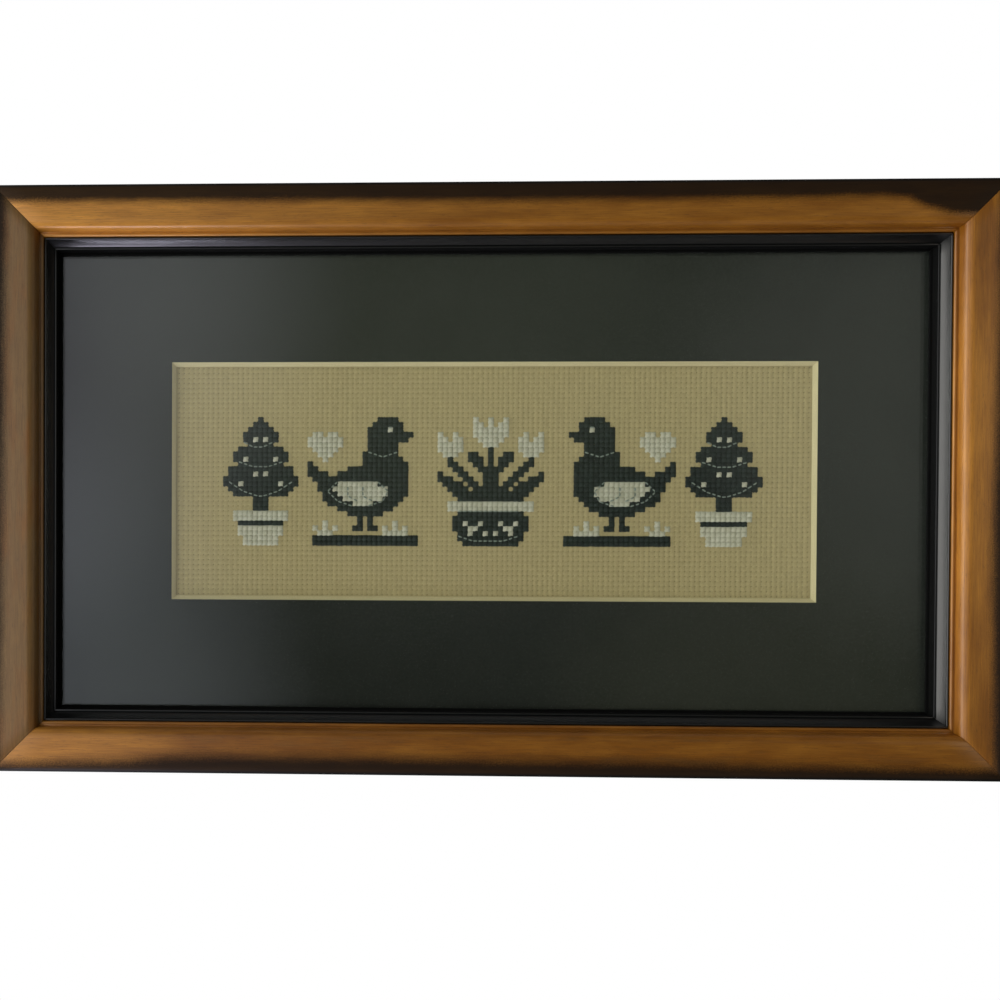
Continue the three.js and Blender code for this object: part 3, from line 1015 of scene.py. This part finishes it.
def outline_stitches():
    """All the sage outlines as one bmesh."""
    bm = bmesh.new()
    strand = plain_strand()
    half_block = Vector((BLOCK_WIDTH, 0, BLOCK_HEIGHT)) / 2
    for path in outline_paths():
        holes = [block_middle(c, r) - half_block for c, r in path]
        for start, end in zip(holes, holes[1:]):
            stitches = max(1, round((end - start).length / OUTLINE_STITCH))
            for k in range(stitches):
                down, up = (k + OUTLINE_GAP) / stitches, (k + 1 - OUTLINE_GAP) / stitches
                back_stitch(bm, strand, start.lerp(end, down), start.lerp(end, up))
    bmesh.ops.recalc_face_normals(bm, faces=bm.faces)
    twist = bm.loops.layers.uv.new("strand")
    for face in bm.faces:
        for loop in face.loops:
            loop[twist].uv = (loop.vert.co.x / MM, loop.vert.co.z / MM)
    return bm


sage_cotton = stranded_cotton("sage_stranded_cotton", "#8C9488", "#A9B0A2", 0.15)
outlines = piece_from(outline_stitches(), "sage_outline_stitches", [sage_cotton], None)


# Backing board. A plain sheet of brown hardboard, laid loose in the rebate. It closes the frame's back and
# holds the cloth flat.
def brown_hardboard():
    """Pressed wood-fibre board: mid brown, matt, with flattened fibres of a millimetre or two."""
    material, tree, shader = new_material(
        "brown_hardboard", {"Roughness": 0.8, "Specular IOR Level": 0.3}
    )
    spot = add(tree, "TexCoord", {}, {}).outputs["Object"]
    fibre = add(
        tree, "TexNoise", {"Scale": 1 / (1.6 * MM), "Detail": 6, "Roughness": 0.7}, {"Vector": spot}
    ).outputs["Fac"]
    cloud = add(tree, "TexNoise", {"Scale": 1 / (30 * MM), "Detail": 2}, {"Vector": spot}).outputs["Fac"]
    flecks = add(tree, "MapRange", {"From Min": 0.35, "From Max": 0.65}, {"Value": fibre}).outputs[0]
    board = add(
        tree, "Mix", {"data_type": "RGBA", 6: tint("#6B4E33"), 7: tint("#8C6B49")}, {"Factor": flecks}
    ).outputs[2]
    colour = add(
        tree, "Mix", {"data_type": "RGBA", "blend_type": "MULTIPLY", 7: tint("#D9D0C6")},
        {"Factor": cloud, 6: board},
    ).outputs[2]
    bump = add(tree, "Bump", {"Strength": 0.4, "Distance": 0.06 * MM}, {"Height": fibre})
    tree.links.new(colour, shader.inputs["Base Color"])
    tree.links.new(bump.outputs[0], shader.inputs["Normal"])
    return material


finish_node("backing_board", brown_hardboard())


# Studio. A pale floor below the picture, a white surround, and soft light that comes mostly from the left and
# a little from below. The camera looks at the picture almost squarely from close by.
FLOOR_DROP = 0.5             # below the picture
FLOOR_RADIUS = 0.8
FLOOR_FORWARD = 0.3          # how far in front of the wall its middle lies
CAMERA_PLACE = Vector((-53.3, -407.6, -126.2)) * MM
CAMERA_YAW, CAMERA_PITCH, CAMERA_ROLL = 0.0335, -0.0116, 0.0041    # radians
FOCAL_PIXELS = 1101
IMAGE_PIXELS = 1000
IMAGE_CENTRE = (302.8, 569.6)      # pixel that the lens's axis meets


def studio_floor():
    """A round pale floor. It is part of the stage, not of the picture."""
    bm = bmesh.new()
    bmesh.ops.create_circle(
        bm, segments=96, radius=FLOOR_RADIUS, cap_ends=True,
        matrix=Matrix.Translation((0, -FLOOR_FORWARD, cad_low.z - FLOOR_DROP)),
    )
    mesh = bpy.data.meshes.new("pale_floor")
    bm.to_mesh(mesh)
    bm.free()
    material = new_material("pale_floor_paint", {"Base Color": tint("#F2F1EE"), "Roughness": 0.8})[0]
    mesh.materials.append(material)
    floor = bpy.data.objects.new("pale_floor", mesh)
    bpy.context.scene.collection.objects.link(floor)


def softbox(name, place, aim, size, power, colour):
    """A soft rectangular area light at a place, turned towards aim."""
    lamp = bpy.data.lights.new(name, "AREA")
    lamp.shape = "RECTANGLE"
    lamp.size, lamp.size_y = size
    lamp.energy = power
    lamp.color = tint(colour)[:3]
    box = bpy.data.objects.new(name, lamp)
    box.location = place
    box.rotation_euler = (Vector(aim) - Vector(place)).to_track_quat("-Z", "Y").to_euler()
    bpy.context.scene.collection.objects.link(box)


def room_light(glows, dim):
    """The world: plain white as the camera sees it, and on the picture the uneven light of a room. A glow is
    a soft patch of brightness: degrees to the right and up, half-width in degrees, strength and colour. The
    dim light is a strength and a colour, and comes from all round."""
    world = bpy.data.worlds.new("studio_room")
    world.use_nodes = True
    bpy.context.scene.world = world
    tree = world.node_tree
    way = add(tree, "TexCoord", {}, {}).outputs["Generated"]
    way = add(tree, "VectorMath", {"operation": "NORMALIZE"}, {0: way}).outputs[0]
    total = add(tree, "Background", {"Color": tint(dim[1]), "Strength": dim[0]}, {}).outputs[0]
    for right, up, half_width, strength, colour in glows:
        right, up = math.radians(right), math.radians(up)
        towards = (math.sin(right) * math.cos(up), -math.cos(right) * math.cos(up), math.sin(up))
        near = add(tree, "VectorMath", {"operation": "DOT_PRODUCT", 1: towards}, {0: way}).outputs["Value"]
        edge = math.cos(math.radians(half_width))
        share = add(
            tree, "MapRange",
            {"interpolation_type": "SMOOTHSTEP", "From Min": edge, "To Max": strength}, {"Value": near},
        ).outputs[0]
        glow = add(tree, "Background", {"Color": tint(colour)}, {"Strength": share}).outputs[0]
        total = add(tree, "AddShader", {}, {0: total, 1: glow}).outputs[0]
    seen = add(tree, "LightPath", {}, {}).outputs["Is Camera Ray"]
    white = add(tree, "Background", {"Color": (1, 1, 1, 1), "Strength": 1}, {}).outputs[0]
    both = add(tree, "MixShader", {}, {0: seen, 1: total, 2: white}).outputs[0]
    tree.links.new(both, tree.nodes["World Output"].inputs["Surface"])


def photo_camera():
    """The camera, with the picture off its middle as in the photograph."""
    lens = bpy.data.cameras.new("camera")
    lens.lens = lens.sensor_width * FOCAL_PIXELS / IMAGE_PIXELS
    lens.shift_x = 0.5 - IMAGE_CENTRE[0] / IMAGE_PIXELS
    lens.shift_y = IMAGE_CENTRE[1] / IMAGE_PIXELS - 0.5
    lens.clip_start = 0.01
    camera = bpy.data.objects.new("camera", lens)
    upright = Matrix.Rotation(math.pi / 2, 4, "X")
    turn = Matrix.Rotation(CAMERA_YAW, 4, "Y") @ Matrix.Rotation(CAMERA_PITCH, 4, "X")
    turn = turn @ Matrix.Rotation(CAMERA_ROLL, 4, "Z")
    camera.matrix_world = Matrix.Translation(CAMERA_PLACE) @ upright @ turn
    bpy.context.scene.collection.objects.link(camera)
    bpy.context.scene.camera = camera


studio_floor()
room_light(
    glows=[
        (-75, 0, 50, 3.1, "#FFFDF8"), (-20, -9, 20, 0.78, "#E0E6EE"), (-20, 14, 21, 0.77, "#E8E8F2"),
        (-38, -6, 28, 0.25, "#F0F3FF"), (29, 8, 14, 0.26, "#F6F8E8"), (3, 16, 21, 0.17, "#F4FFD4"),
        (21, -8, 12, 0.09, "#FFFFC8"), (75, 0, 50, 0.06, "#FFF9F0"), (0, 85, 50, 0.28, "#FFFFFF"),
    ],
    dim=(0.01, "#F2F0EA"),
)
softbox(
    "low_left", place=(-0.25, -0.095, -0.505), aim=(-0.14, -0.02, -0.015), size=(0.2, 0.13),
    power=1.0, colour="#EDE8FF",
)
softbox(
    "right_lamp", place=(0.75, -0.55, 0.0), aim=(0.15, 0, -0.1), size=(0.3, 0.4),
    power=0.45, colour="#FFF8EC",
)
bpy.context.scene.view_settings.view_transform = "Standard"
photo_camera()
